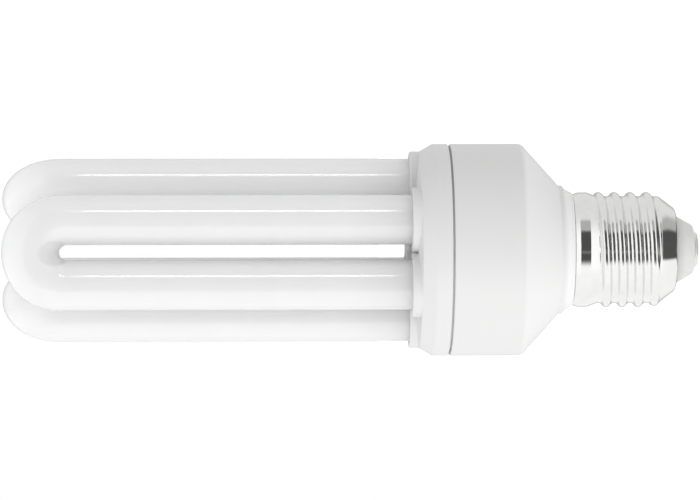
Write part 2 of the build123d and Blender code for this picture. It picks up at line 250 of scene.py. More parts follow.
def height_fade_group():
    """Node group: a share that runs from 0 at one height on the lamp axis to 1 at another."""
    group = bpy.data.node_groups.new("height_fade", "ShaderNodeTree")
    for socket in ("Start", "End"):
        group.interface.new_socket(socket, in_out="INPUT", socket_type="NodeSocketFloat")
    group.interface.new_socket("Share", in_out="OUTPUT", socket_type="NodeSocketFloat")
    inside = group.nodes.new("NodeGroupInput")
    outside = group.nodes.new("NodeGroupOutput")
    place = group.nodes.new("ShaderNodeTexCoord")
    split = group.nodes.new("ShaderNodeSeparateXYZ")
    fade = group.nodes.new("ShaderNodeMapRange")
    join = group.links.new
    join(place.outputs["Object"], split.inputs["Vector"])
    join(split.outputs["Z"], fade.inputs["Value"])
    join(inside.outputs["Start"], fade.inputs["From Min"])
    join(inside.outputs["End"], fade.inputs["From Max"])
    join(fade.outputs["Result"], outside.inputs["Share"])
    return group


height_fade = height_fade_group()


def height_share(tree, start, end):
    """Place the shared height fade in a material and give its output."""
    node = tree.nodes.new("ShaderNodeGroup")
    node.node_tree = height_fade
    node.inputs["Start"].default_value = start
    node.inputs["End"].default_value = end
    return node.outputs["Share"]


insulator_white, tree, shader = new_material("insulator_white")
pale = blend_colours(tree, noise_value(tree, 700), (0.68, 0.68, 0.67), (0.72, 0.72, 0.71))
# Painted shade: the cone darkens towards the sleeve's lip, over the stretch given by lip_shade.
painted_lip_shade = height_share(tree, lip_height - lip_shade, lip_height)
pale = blend_colours(tree, painted_lip_shade, pale, (0.56, 0.56, 0.55))
tree.links.new(pale, shader.inputs["Base Color"])
tree.links.new(noise_value(tree, 1500, 0.3, 0.45), shader.inputs["Roughness"])
add_bump(tree, shader, noise_value(tree, 3000), 0.015 * MM)

insulator = turned_piece(
    "insulator_cone",
    [
        (stem_radius + insulator_fit, insulator_low.z, 0),
        (insulator_tip_radius, insulator_low.z, insulator_tip_edge),
        (lip_radius - lip_cover, lip_height, 0),
        (insulator_grip_radius, insulator_high.z - insulator_rim, insulator_grip_rounding),
        (insulator_grip_radius, insulator_high.z, insulator_rim_rounding),
        (stem_radius + insulator_fit, insulator_high.z, 0),
    ],
    steps=insulator_steps,
)
shade(insulator)
insulator.data.materials.append(insulator_white)
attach(insulator, "root")
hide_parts("cap_insulator")

# Screw sleeve: thin nickel-plated sheet, drawn to a cup and rolled to a round right-hand thread.
# The thread runs in and out over part of a turn. The rim is turned in over the housing's neck and
# staked there with a punch on opposite sides.
_, sleeve_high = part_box("screw_shell")
sheet = 0.3 * MM
shoulder = ((9.4 * MM, 5.35 * MM), (10.95 * MM, 7.4 * MM))
shoulder_rounding = 0.35 * MM
thread_root = 12.1 * MM
thread_crest = sleeve_high.x
thread_pitch = 3.629 * MM
thread_bottom = 8.55 * MM
thread_top = 24.1 * MM
thread_run_in = 0.8 * MM
crest_height_at_x = 8.07 * MM
thread_first_turn = radians(172)
thread_last_turn = radians(1480)
thread_fade = radians(40)
rim_radius = 13.0 * MM
flare_bottom = 22.9 * MM
flare_top = 25.2 * MM
flare_rounding = 0.3 * MM
rim_roll = 1.2 * MM
rim_turn = 0.45 * MM
rim_rounding = 0.2 * MM
rim_rise = 0.35 * MM
rim_top = sleeve_high.z + rim_rise
stake_angles = (radians(-36), radians(144))
stake_height = 25.9 * MM
stake_size = (0.9 * MM, 1.5 * MM)
stake_depth = 0.22 * MM
sleeve_steps = 224
thread_rows = 140
flare_rows = 22
rim_rows = 10

nickel_plate, tree, shader = new_material("nickel_plate")
shader.inputs["Metallic"].default_value = 1.0
nickel = blend_colours(tree, noise_value(tree, 350), (0.79, 0.787, 0.78), (0.84, 0.838, 0.833))
tree.links.new(nickel, shader.inputs["Base Color"])
tree.links.new(noise_value(tree, 500, 0.07, 0.11, stretch=12), shader.inputs["Roughness"])
add_bump(tree, shader, noise_value(tree, 400, stretch=25), 0.004 * MM)

sleeve = turned_piece(
    "screw_sleeve",
    [
        (lip_radius, lip_height, 0),
        *[(radius, height, shoulder_rounding) for radius, height in shoulder],
        (thread_root, thread_bottom + thread_run_in / 2, 0),
        (thread_root, flare_bottom, flare_rounding),
        (rim_radius, flare_top, flare_rounding),
        (rim_radius, rim_top - rim_roll, rim_rounding),
        (rim_radius - rim_turn, rim_top, 0),
    ],
    closed=False,
    steps=sleeve_steps,
    cuts=((3, 4, thread_rows), (4, 5, flare_rows), (5, 6, rim_rows)),
)


def smooth_step(start, end, value):
    """Rise from 0 at start to 1 at end."""
    share = min(max((value - start) / (end - start), 0.0), 1.0)
    return share * share * (3 - 2 * share)


# Crest and root are equal arcs that meet at half the thread's depth
thread_depth = thread_crest - thread_root
arc_radius = (thread_depth**2 + (thread_pitch / 2) ** 2) / (4 * thread_depth)
for vertex in sleeve.data.vertices:
    radius = hypot(vertex.co.x, vertex.co.y)
    around = atan2(vertex.co.y, vertex.co.x)
    rise = (vertex.co.z - crest_height_at_x) / thread_pitch - around / (2 * pi)
    turn = 2 * pi * round(rise) + around
    from_crest = abs(rise - round(rise)) * thread_pitch
    from_arc = min(from_crest, thread_pitch / 2 - from_crest)
    drop = arc_radius - sqrt(arc_radius**2 - from_arc**2)
    relief = thread_depth - drop if from_crest < thread_pitch / 4 else drop
    relief *= smooth_step(thread_first_turn - thread_fade, thread_first_turn + thread_fade, turn)
    relief *= 1 - smooth_step(thread_last_turn - thread_fade, thread_last_turn + thread_fade, turn)
    relief *= smooth_step(thread_bottom, thread_bottom + thread_run_in, vertex.co.z)
    relief *= 1 - smooth_step(thread_top - thread_run_in, thread_top, vertex.co.z)
    relief = max(thread_root + relief - radius, 0.0) if vertex.co.z > thread_bottom else 0.0
    for stake in stake_angles:
        across = radius * abs((around - stake + pi) % (2 * pi) - pi) / stake_size[0]
        away = hypot(across, (vertex.co.z - stake_height) / stake_size[1])
        relief -= stake_depth * (1 - smooth_step(0, 1, away))
    vertex.co.x *= 1 + relief / radius
    vertex.co.y *= 1 + relief / radius

wall = sleeve.modifiers.new("sheet", "SOLIDIFY")
wall.thickness = sheet
wall.offset = -1
bpy.ops.object.modifier_apply(modifier=wall.name)
shade(sleeve, sharp_from=40)
sleeve.data.materials.append(nickel_plate)
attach(sleeve, "root")
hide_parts("screw_shell")

# Base housing: the lower moulding, in white flame-proof plastic with a fine satin skin. Barrel,
# cone and neck are one hollow piece, with ribs inside that carry the board and a spigot that
# reaches down into the sleeve.
housing_low, housing_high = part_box("base_housing")
board_low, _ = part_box("circuit_board")
housing_radius = housing_high.x
housing_wall = 1.6 * MM
cavity_radius = housing_radius - housing_wall
seam_height = housing_high.z
seam_edge_width = 0.15 * MM
seam_edge_height = 0.3 * MM
seam_lip = 0.06 * MM
barrel_bottom = 40.2 * MM
barrel_rounding = 0.7 * MM
cone_bottom = 32.0 * MM
neck_fit = 0.08 * MM
neck_bottom = rim_top + neck_fit
neck_bottom_radius = 12.85 * MM
neck_bead = ((13.1 * MM, 28.95 * MM), (13.15 * MM, 29.3 * MM))
neck_ring = ((13.3 * MM, 29.4 * MM), (13.7 * MM, 30.2 * MM))
neck_land = ((14.55 * MM, 30.95 * MM), (14.6 * MM, 31.9 * MM))
neck_top_radius = 14.9 * MM
neck_shade_margin = 0.1 * MM
spigot_radius = 11.65 * MM
spigot_bore = 10.25 * MM
spigot_rounding = 0.2 * MM
cone_inside = ((cavity_radius, 40.9 * MM), (spigot_bore, 30.0 * MM))
cone_inside_rounding = 0.5 * MM
rib_count = 6
rib_width = 1.4 * MM
rib_depth = 2.2 * MM
rib_hold = 0.25 * MM
rib_sink = 1.54 * MM
rib_foot = cone_inside[0][1] - rib_sink
small_edge = 0.15 * MM
moulding_steps = 192

white_plastic, tree, shader = new_material("white_plastic")
shader.inputs["IOR"].default_value = 1.5
white = blend_colours(tree, noise_value(tree, 60), (0.815, 0.815, 0.812), (0.83, 0.83, 0.828))
# Painted light: the plastic turns lighter from the neck's land down over ring, bead and spigot.
painted_neck_light = height_share(tree, neck_land[0][1] + neck_shade_margin, neck_ring[1][1])
white = blend_colours(tree, painted_neck_light, white, (0.91, 0.91, 0.908))
tree.links.new(white, shader.inputs["Base Color"])
tree.links.new(noise_value(tree, 400, 0.36, 0.44), shader.inputs["Roughness"])
add_bump(tree, shader, noise_value(tree, 5200), 0.006 * MM)

housing = turned_piece(
    "base_moulding",
    [
        (spigot_bore, housing_low.z, 0),
        (spigot_radius, housing_low.z, spigot_rounding),
        (spigot_radius, neck_bottom, 0),
        (neck_bottom_radius, neck_bottom, 0),
        *[(radius, height, small_edge / 2) for radius, height in (*neck_bead, *neck_ring, *neck_land)],
        (neck_top_radius, cone_bottom, small_edge),
        (housing_radius, barrel_bottom, barrel_rounding),
        (housing_radius, seam_height - seam_edge_height, small_edge / 2),
        (housing_radius - seam_edge_width, seam_height, small_edge / 2),
        (cavity_radius, seam_height, 0),
        *[(radius, height, cone_inside_rounding) for radius, height in cone_inside],
    ],
    steps=moulding_steps,
)


def bar(name, size, place, edge):
    """A block with softened edges, its size and its place given in metres."""
    bpy.ops.object.select_all(action="DESELECT")
    bpy.ops.mesh.primitive_cube_add(size=1, scale=size, location=place)
    piece = bpy.context.object
    piece.name = name
    bpy.ops.object.transform_apply(location=True, rotation=True, scale=True)
    bpy.ops.object.mode_set(mode="EDIT")
    bpy.ops.mesh.select_all(action="SELECT")
    bpy.ops.mesh.bevel(offset=edge, segments=2)
    bpy.ops.object.mode_set(mode="OBJECT")
    return piece


def combine(piece, tool, operation, places=((0, 0, 0),), turns=(0,)):
    """Unite or cut a piece with a tool at each place and turn about the lamp axis, then drop the tool.

    The work is done in millimetres, which the solver takes better than thousandths of a metre.
    Corners that come closer than the slightest edge are merged, so that no sliver is left."""
    slightest_edge = 0.002
    for mesh in (piece.data, tool.data):
        mesh.transform(Matrix.Scale(1 / MM, 4))
    for place in places:
        for turn in turns:
            tool.location = Vector(place) / MM
            tool.rotation_euler.z = turn
            step = piece.modifiers.new(operation.lower(), "BOOLEAN")
            step.operation = operation
            step.solver = "EXACT"
            step.object = tool
            bpy.ops.object.select_all(action="DESELECT")
            bpy.context.view_layer.objects.active = piece
            piece.select_set(True)
            bpy.ops.object.modifier_apply(modifier=step.name)
    bpy.ops.object.mode_set(mode="EDIT")
    bpy.ops.mesh.select_all(action="SELECT")
    bpy.ops.mesh.remove_doubles(threshold=slightest_edge)
    bpy.ops.mesh.dissolve_degenerate(threshold=slightest_edge)
    bpy.ops.object.mode_set(mode="OBJECT")
    piece.data.transform(Matrix.Scale(MM, 4))
    bpy.data.objects.remove(tool)


rib = bar(
    "rib",
    (rib_depth + rib_hold, rib_width, board_low.z - rib_foot),
    (cavity_radius + (rib_hold - rib_depth) / 2, 0, (board_low.z + rib_foot) / 2),
    small_edge,
)
combine(housing, rib, "UNION", turns=[2 * pi * index / rib_count for index in range(rib_count)])
shade(housing)
housing.data.materials.clear()
housing.data.materials.append(white_plastic)
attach(housing, "root")
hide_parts("base_housing")

# Ballast board: a round of paper laminate on the housing's ribs, which carries the parts that
# start and feed the tube. It is punched out, so its faces show a faint grain.
def dress(material, *names):
    """Give a finish to CAD nodes whose shape stays."""
    for name in names:
        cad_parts[name].data.materials.clear()
        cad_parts[name].data.materials.append(material)


def plain_finish(name, first, second, grain, roughness, metallic=0.0):
    """A finish of two near colours with grain of a given scale and a range of roughness."""
    material, tree, shader = new_material(name)
    shader.inputs["Metallic"].default_value = metallic
    colour = blend_colours(tree, noise_value(tree, grain), first, second)
    tree.links.new(colour, shader.inputs["Base Color"])
    tree.links.new(noise_value(tree, 2 * grain, *roughness), shader.inputs["Roughness"])
    return material, tree, shader


laminate, tree, shader = plain_finish(
    "laminate", (0.58, 0.44, 0.25), (0.66, 0.52, 0.31), 300, (0.55, 0.7)
)
add_bump(tree, shader, noise_value(tree, 900), 0.01 * MM)
dress(laminate, "circuit_board")

# Choke and drive transformer: pressed ferrite cores, fired dark grey, with enamelled copper wound
# on a moulded bobbin and straight on the ring.
ferrite, tree, shader = plain_finish(
    "ferrite", (0.055, 0.055, 0.06), (0.085, 0.085, 0.09), 1200, (0.6, 0.8)
)
add_bump(tree, shader, noise_value(tree, 2500), 0.02 * MM)
dress(ferrite, "choke_core", "toroid_core")

bobbin_nylon, _, _ = plain_finish("bobbin_nylon", (0.82, 0.81, 0.75), (0.87, 0.86, 0.8), 500, (0.4, 0.55))
dress(bobbin_nylon, "choke_bobbin")

wire_pitch = 0.25 * MM
wave_repeat = 0.314
copper, tree, shader = plain_finish(
    "enamelled_copper", (0.62, 0.31, 0.15), (0.74, 0.41, 0.22), 700, (0.25, 0.4), metallic=1.0
)
wound = tree.nodes.new("ShaderNodeTexWave")
wound.bands_direction = "Z"
wound.inputs["Scale"].default_value = wave_repeat / wire_pitch
place = tree.nodes.new("ShaderNodeTexCoord")
tree.links.new(place.outputs["Object"], wound.inputs["Vector"])
add_bump(tree, shader, wound.outputs["Fac"], 0.08 * MM)
dress(copper, "choke_winding", *[f"toroid_winding_{index}" for index in (1, 2, 3)])

# Capacitors: an aluminium can in a dark shrink sleeve that hangs down into the cap, and two film
# blocks dipped in red-brown epoxy.
shrink_sleeve, _, _ = plain_finish(
    "shrink_sleeve", (0.045, 0.055, 0.085), (0.06, 0.07, 0.1), 200, (0.2, 0.32)
)
dress(shrink_sleeve, "reservoir_capacitor")
epoxy_dip, tree, shader = plain_finish(
    "epoxy_dip", (0.41, 0.085, 0.05), (0.49, 0.12, 0.07), 250, (0.12, 0.25)
)
add_bump(tree, shader, noise_value(tree, 400), 0.05 * MM)
dress(epoxy_dip, "resonant_capacitor", "coupling_capacitor")

# Transistors, diodes and filter coil: black epoxy mouldings and a sleeved drum, all with a matt
# skin from the mould.
black_epoxy, tree, shader = plain_finish(
    "black_epoxy", (0.03, 0.03, 0.03), (0.048, 0.048, 0.05), 800, (0.5, 0.65)
)
add_bump(tree, shader, noise_value(tree, 3500), 0.01 * MM)
dress(
    black_epoxy,
    "filter_inductor",
    *[f"transistor_{index}" for index in (1, 2)],
    *[f"rectifier_diode_{index}" for index in (1, 2, 3, 4)],
)

# Resistors and diac: ceramic rods in beige lacquer, and a small diode sealed in blue glass. All
# are soldered to the board.
lacquer, _, _ = plain_finish("beige_lacquer", (0.63, 0.53, 0.38), (0.72, 0.62, 0.46), 600, (0.35, 0.5))
dress(lacquer, "fuse_resistor", "base_resistor_1", "base_resistor_2", "start_resistor")
blue_glass, _, _ = plain_finish("blue_glass", (0.08, 0.17, 0.41), (0.12, 0.23, 0.49), 500, (0.05, 0.12))
dress(blue_glass, "diac")

# Leads and wires: tinned copper posts and filament leads, and two supply wires in pale sleeving
# that run down to the contact and to the sleeve.
tinned_copper, _, _ = plain_finish(
    "tinned_copper", (0.68, 0.68, 0.66), (0.79, 0.79, 0.77), 900, (0.25, 0.4), metallic=1.0
)
for index in (1, 2, 3, 4):
    dress(tinned_copper, f"lead_post_{index}", f"filament_lead_{index}")
pale_sleeving, _, _ = plain_finish("pale_sleeving", (0.79, 0.79, 0.77), (0.85, 0.85, 0.83), 700, (0.4, 0.55))
dress(pale_sleeving, "live_wire", "neutral_wire")

# Tube holder: the upper moulding of the same plastic, snapped into the base by three hooked tabs.
# Its top is a low cone with six collars that grip the glass limbs, notched where the bridges pass,
# and a shadow gap runs round the joint below the chamfered rim.
holder_low, holder_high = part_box("tube_holder")
collar_top = holder_high.z
plate_top = 62.9 * MM
plate_bottom = 61.3 * MM
chamfer_height = 2.5 * MM
chamfer_width = 1.5 * MM
chamfer_low_rounding = 0.4 * MM
chamfer_high_rounding = 0.25 * MM
land_height = 0.55 * MM
land_draft = 0.25 * MM
land_rounding = 0.2 * MM
cone_rise = 0.75 * MM
cone_crest_radius = 17.5 * MM
cone_crest_rounding = 0.5 * MM
seam_gap = 0.5 * MM
seam_depth = 1.4 * MM
tube_radius = 5.6 * MM
tube_fit = 0.15 * MM
collar_wall = 1.65 * MM
collar_radius = tube_radius + collar_wall
collar_edge = 0.45 * MM
collar_land = 1.67 * MM
collar_steps = 96
limb_half_angle = radians(28.94)
limb_circle = housing_radius - collar_land - collar_radius
u_angles = [radians(-90 + 120 * index) for index in range(3)]
limb_angles = [angle + side * limb_half_angle for angle in u_angles for side in (-1, 1)]
limb_places = [Vector((limb_circle * cos(angle), limb_circle * sin(angle), 0)) for angle in limb_angles]
bridge_limbs = ((3, 4), (5, 0))
bridge_radius = 1.3 * MM
bridge_fit = 0.2 * MM
bridge_drop = 1.0 * MM
bridge_height = collar_top - bridge_drop
tab_thickness = 1.3 * MM
tab_width = 6.0 * MM
tab_root = 0.3 * MM
tab_size = Vector((tab_thickness, tab_width, plate_bottom - holder_low.z + tab_root))
tab_face = sqrt((cavity_radius - tube_fit) ** 2 - (tab_width / 2) ** 2)
hook_reach = 0.8 * MM
hook_thickness = 1.4 * MM
hook_rise = 1.4 * MM

holder = turned_piece(
    "tube_holder_moulding",
    [
        (0, plate_bottom, 0),
        (cavity_radius, plate_bottom, 0),
        (cavity_radius, seam_height, 0),
        (housing_radius - seam_depth, seam_height, 0),
        (housing_radius - seam_depth, seam_height + seam_gap, 0),
        (housing_radius - seam_lip, seam_height + seam_gap, 0),
        (housing_radius, seam_height + seam_gap + seam_lip, 0),
        (housing_radius, plate_top - chamfer_height, chamfer_low_rounding),
        (housing_radius - chamfer_width, plate_top, chamfer_high_rounding),
        (housing_radius - chamfer_width - land_draft, plate_top + land_height, land_rounding),
        (cone_crest_radius, plate_top + land_height + cone_rise, cone_crest_rounding),
        (0, plate_top + land_height + cone_rise, 0),
    ],
    closed=False,
    steps=moulding_steps,
)
collar = turned_piece(
    "collar",
    [
        (0, plate_bottom + small_edge, 0),
        (collar_radius, plate_bottom + small_edge, 0),
        (collar_radius, collar_top, collar_edge),
        (0, collar_top, 0),
    ],
    closed=False,
    steps=collar_steps,
)
combine(holder, collar, "UNION", limb_places)
hole_radius = tube_radius + tube_fit
limb_hole = turned_piece(
    "limb_hole",
    [
        (0, plate_bottom - tube_radius, 0),
        (hole_radius, plate_bottom - tube_radius, 0),
        (hole_radius, collar_top - 2 * small_edge, 0),
        (hole_radius + 3 * small_edge, collar_top + small_edge, 0),
        (0, collar_top + small_edge, 0),
    ],
    closed=False,
    steps=collar_steps,
)
combine(holder, limb_hole, "DIFFERENCE", limb_places)
for first, second in bridge_limbs:
    along = limb_places[second] - limb_places[first]
    notch_bottom = bridge_height - bridge_radius - bridge_fit
    notch_top = collar_top + tube_radius
    notch = bar(
        "notch",
        (along.length, 2 * (bridge_radius + bridge_fit), notch_top - notch_bottom),
        (0, 0, (notch_top + notch_bottom) / 2),
        2 * small_edge,
    )
    middle = (limb_places[first] + limb_places[second]) / 2
    combine(holder, notch, "DIFFERENCE", [middle], [atan2(along.y, along.x)])
tab = bar(
    "tab",
    tab_size,
    (tab_face - tab_thickness / 2, 0, holder_low.z + tab_size.z / 2),
    small_edge,
)
hook_depth = hook_reach + tab_thickness / 2
hook = bar(
    "hook",
    (hook_depth, tab_width, hook_thickness),
    (tab_face + hook_reach - hook_depth / 2, 0, holder_low.z + hook_rise + hook_thickness / 2),
    small_edge,
)
combine(tab, hook, "UNION")
combine(holder, tab, "UNION", turns=u_angles)
shade(holder)
holder.data.materials.clear()
holder.data.materials.append(white_plastic)
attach(holder, "root")
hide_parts("tube_holder")

# Discharge tube: one sealed glass vessel with a white phosphor coat inside. Each U is bent from
# straight tube, painted shade darkens a crescent on the inside of each bend, and short bridges
# blown between neighbouring limbs join the tubes in series.
glass_low, glass_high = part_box("discharge_tube")
tube_sides = 64
bend_steps = 48
u_offset = limb_circle * cos(limb_half_angle)
half_spacing = limb_circle * sin(limb_half_angle)
bend_outside = half_spacing + tube_radius
bend_height = glass_high.z - bend_outside
saddle_drop = 1.75 * MM
bridge_flare = 0.5 * MM
bridge_sink = 0.6 * MM
bridge_steps = 32
coat_depth = 0.85
saddle_shade_depth = 0.45
saddle_shade_edge_at_top = 0.62
saddle_shade_edge_at_limb = 0.92
saddle_shade_fade = 0.05
saddle_shade_end = 0.35
foot_shade = 15.0 * MM

phosphor_glass, tree, shader = new_material("phosphor_glass")
shader.inputs["Roughness"].default_value = 0.04
shader.inputs["IOR"].default_value = 1.52
shader.inputs["Subsurface Radius"].default_value = (1, 1, 1)
shader.inputs["Subsurface Scale"].default_value = 8.0 * MM
coat = blend_colours(tree, noise_value(tree, 140), (0.9, 0.9, 0.9), (0.92, 0.92, 0.92))
# Painted shade: a darker coat, with less scattering, in a crescent round the saddle of each bend.
saddle_shade_node = tree.nodes.new("ShaderNodeAttribute")
saddle_shade_node.attribute_name = "painted_saddle_shade"
coat = blend_colours(tree, saddle_shade_node.outputs["Fac"], coat, (0.8, 0.8, 0.8))
depth = tree.nodes.new("ShaderNodeMapRange")
depth.inputs["To Min"].default_value = coat_depth
depth.inputs["To Max"].default_value = saddle_shade_depth
tree.links.new(saddle_shade_node.outputs["Fac"], depth.inputs["Value"])
tree.links.new(depth.outputs["Result"], shader.inputs["Subsurface Weight"])
# Painted shade: the coat darkens over the last foot_shade of each limb towards the collars.
painted_foot_shade = height_share(tree, collar_top + foot_shade, collar_top)
coat = blend_colours(tree, painted_foot_shade, coat, (0.84, 0.84, 0.84))
tree.links.new(coat, shader.inputs["Base Color"])

bpy.ops.object.select_all(action="DESELECT")
bpy.ops.mesh.primitive_circle_add(
    vertices=tube_sides, radius=tube_radius, location=(u_offset, -half_spacing, glass_low.z)
)
bent_tube = bpy.context.object
bpy.ops.object.transform_apply(location=True, rotation=True, scale=True)
bpy.ops.object.mode_set(mode="EDIT")
bpy.ops.mesh.select_all(action="SELECT")
bpy.ops.mesh.extrude_region_move(TRANSFORM_OT_translate={"value": (0, 0, bend_height - glass_low.z)})
bpy.ops.mesh.spin(steps=bend_steps, angle=pi, center=(u_offset, 0, bend_height), axis=(1, 0, 0))
bpy.ops.mesh.extrude_region_move(TRANSFORM_OT_translate={"value": (0, 0, glass_low.z - bend_height)})
for side in (-1, 1):
    pick(bent_tube, lambda at: at.z < glass_low.z + tube_fit and at.y * side > 0)
    bpy.ops.mesh.edge_face_add()
bpy.ops.mesh.select_all(action="SELECT")
bpy.ops.mesh.remove_doubles(threshold=merge_length)
bpy.ops.mesh.normals_make_consistent(inside=False)
bpy.ops.object.mode_set(mode="OBJECT")
# The saddle of a bend sits lower than its outside, and painted shade lies in a crescent round it
painted_saddle_shade = bent_tube.data.attributes.new("painted_saddle_shade", "FLOAT", "POINT")
for vertex in bent_tube.data.vertices:
    if vertex.co.z > bend_height - tube_fit:
        above = vertex.co.z - bend_height
        from_middle = hypot(vertex.co.y, above)
        inside_share = (bend_outside - from_middle) / (2 * tube_radius)
        to_top = above / from_middle
        saddle_shade_edge = saddle_shade_edge_at_limb + (saddle_shade_edge_at_top - saddle_shade_edge_at_limb) * to_top**2
        crescent = smooth_step(saddle_shade_edge, saddle_shade_edge + saddle_shade_fade, inside_share)
        painted_saddle_shade.data[vertex.index].value = crescent * smooth_step(0, saddle_shade_end, to_top)
        vertex.co.z -= saddle_drop * inside_share
bent_tube.rotation_euler.z = u_angles[0]
tubes = [bent_tube]
for angle in u_angles[1:]:
    bpy.ops.object.select_all(action="DESELECT")
    bent_tube.select_set(True)
    bpy.context.view_layer.objects.active = bent_tube
    bpy.ops.object.duplicate()
    copy = bpy.context.object
    copy.rotation_euler.z = angle
    tubes.append(copy)
bpy.ops.object.select_all(action="DESELECT")
for tube in tubes:
    tube.select_set(True)
bpy.context.view_layer.objects.active = bent_tube
bpy.ops.object.transform_apply(location=True, rotation=True, scale=True)
bpy.ops.object.join()
glass = bpy.context.object
glass.name = "discharge_glass"
glass.data.name = "discharge_glass"

for first, second in bridge_limbs:
    start, end = limb_places[first], limb_places[second]
    half_length = (end - start).length / 2 - tube_radius + bridge_sink
    bridge = turned_piece(
        "bridge",
        [
            (0, -half_length, 0),
            (bridge_radius + bridge_flare, -half_length, 0),
            (bridge_radius, bridge_flare + bridge_sink - half_length, bridge_flare),
            (bridge_radius, half_length - bridge_flare - bridge_sink, bridge_flare),
            (bridge_radius + bridge_flare, half_length, 0),
            (0, half_length, 0),
        ],
        closed=False,
        steps=bridge_steps,
    )
    bridge.rotation_euler = (end - start).to_track_quat("Z", "Y").to_euler()
    bpy.ops.object.transform_apply(location=True, rotation=True, scale=True)
    combine(glass, bridge, "UNION", [(start + end) / 2 + Vector((0, 0, bridge_height))])
shade(glass, sharp_from=40)
glass.data.materials.clear()
glass.data.materials.append(phosphor_glass)
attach(glass, "root")
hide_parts("discharge_tube")

# Floor: a pale matt sheet under the cap's contact, which shows the lamp's soft shadow. The white
# surround lights the lamp and shows in its metal, so only the camera sees the sheet.
floor_half = 1.5
floor_glow = 0.62
bpy.ops.object.select_all(action="DESELECT")
bpy.ops.mesh.primitive_plane_add(size=2 * floor_half)
floor = bpy.context.object
floor.name = "floor_sheet"
floor_paper, tree, shader = new_material("floor_paper")
shader.inputs["Base Color"].default_value = (0.7, 0.7, 0.7, 1.0)
shader.inputs["Roughness"].default_value = 1.0
shader.inputs["Specular IOR Level"].default_value = 0.0
shader.inputs["Emission Color"].default_value = (1, 1, 1, 1)
shader.inputs["Emission Strength"].default_value = floor_glow
floor.data.materials.append(floor_paper)
floor.visible_diffuse = False
floor.visible_glossy = False
floor.visible_shadow = False

# Light: a white surround that is brighter past both ends of the lamp, and dark in front and under
# the cap where the metal mirrors the room. A wide soft panel lights the front, and a card and a
# slim strip show only in the glass.
fill_sides = 0.5
fill_tips = 1.2
fill_foot = 1.62
surround_level = 1.2
upper_level = 0.85
lower_level = 1.08
half_level = 0.5
back_level = 0.5
panel_level = 1.13
front_level = 0.085
glint_level = 0.15
# Degrees up from level, or round the lamp axis from the front, between which a level changes
fill_change = (-20, 20)
panel_end = (-34, -18)
half_start = (38, 42)
upper_start = (61, 66)
lower_end = (-95, -55)
back_start = (148, 172)
surround_upper = (20, 90)
surround_lower = (-90, -30)
# Degrees from and to which a zone runs, and over which it fades
glint_zone = (-4, -2, 2)
cap_zone = (-27, 23, 6)
foot_zone = (-45, 21, 5)
foot_dim_zone = (20, 36, 3)
foot_dark_zone = (-12, 24, 4)


def ramp(tree, value, start, end, low, high):
    """Carry a value from start to end over to a level from low to high, smoothly."""
    node = tree.nodes.new("ShaderNodeMapRange")
    node.interpolation_type = "SMOOTHSTEP"
    node.inputs["From Min"].default_value = start
    node.inputs["From Max"].default_value = end
    node.inputs["To Min"].default_value = low
    node.inputs["To Max"].default_value = high
    tree.links.new(value, node.inputs["Value"])
    return node.outputs["Result"]


def angle_ramp(tree, angle, start, end, low, high):
    """Carry an angle between two in degrees over to a level."""
    return ramp(tree, angle, radians(start), radians(end), low, high)


def math_value(tree, operation, first, second=0.0):
    """One sum on outputs or numbers."""
    node = tree.nodes.new("ShaderNodeMath")
    node.operation = operation
    for socket, value in zip(node.inputs, (first, second)):
        if isinstance(value, (int, float)):
            socket.default_value = value
        else:
            tree.links.new(value, socket)
    return node.outputs["Value"]


def between(tree, angle, start, end, fade):
    """1 where an angle lies between two in degrees, and 0 past the fade."""
    rise = angle_ramp(tree, angle, start - fade, start, 0.0, 1.0)
    return math_value(tree, "MULTIPLY", rise, angle_ramp(tree, angle, end, end + fade, 1.0, 0.0))


def choose(tree, factor, first, second):
    """First where the factor is 0 and second where it is 1."""
    node = tree.nodes.new("ShaderNodeMix")
    for socket, value in zip(("Factor", "A", "B"), (factor, first, second)):
        if isinstance(value, (int, float)):
            node.inputs[socket].default_value = value
        else:
            tree.links.new(value, node.inputs[socket])
    return node.outputs["Result"]


world = bpy.data.worlds.new("white_studio")
bpy.context.scene.world = world
world.use_nodes = True
tree = world.node_tree
direction = tree.nodes.new("ShaderNodeTexCoord")
split = tree.nodes.new("ShaderNodeSeparateXYZ")
tree.links.new(direction.outputs["Generated"], split.inputs["Vector"])
along_x, along_y, along_z = (split.outputs[axis] for axis in "XYZ")
to_front = math_value(tree, "MULTIPLY", along_y, -1)
to_foot = math_value(tree, "MULTIPLY", along_z, -1)
round_axis = math_value(tree, "ARCTAN2", along_x, to_front)
climb = math_value(tree, "ARCSINE", along_z)
fill_ends = angle_ramp(tree, climb, *fill_change, fill_foot, fill_tips)
fill = choose(tree, math_value(tree, "MULTIPLY", along_z, along_z), fill_sides, fill_ends)
level = angle_ramp(tree, round_axis, *panel_end, panel_level, front_level)
for change in (
    angle_ramp(tree, round_axis, *half_start, 0.0, half_level - front_level),
    angle_ramp(tree, round_axis, *upper_start, 0.0, upper_level - half_level),
    angle_ramp(tree, round_axis, *lower_end, lower_level - panel_level, 0.0),
    math_value(tree, "MULTIPLY", between(tree, round_axis, *glint_zone), glint_level),
):
    level = math_value(tree, "ADD", level, change)
surround = math_value(
    tree,
    "ADD",
    angle_ramp(tree, round_axis, *surround_upper, surround_level, upper_level),
    angle_ramp(tree, round_axis, *surround_lower, lower_level - surround_level, 0.0),
)
reflected = choose(tree, between(tree, climb, *cap_zone), surround, level)
across_foot = math_value(tree, "ARCTAN2", along_x, to_foot)
under_cap = between(tree, math_value(tree, "ARCTAN2", to_front, to_foot), *foot_zone)
for zone, zone_level in ((foot_dim_zone, half_level), (foot_dark_zone, front_level)):
    in_zone = math_value(tree, "MULTIPLY", under_cap, between(tree, across_foot, *zone))
    reflected = choose(tree, in_zone, reflected, zone_level)
from_front = math_value(tree, "ABSOLUTE", round_axis)
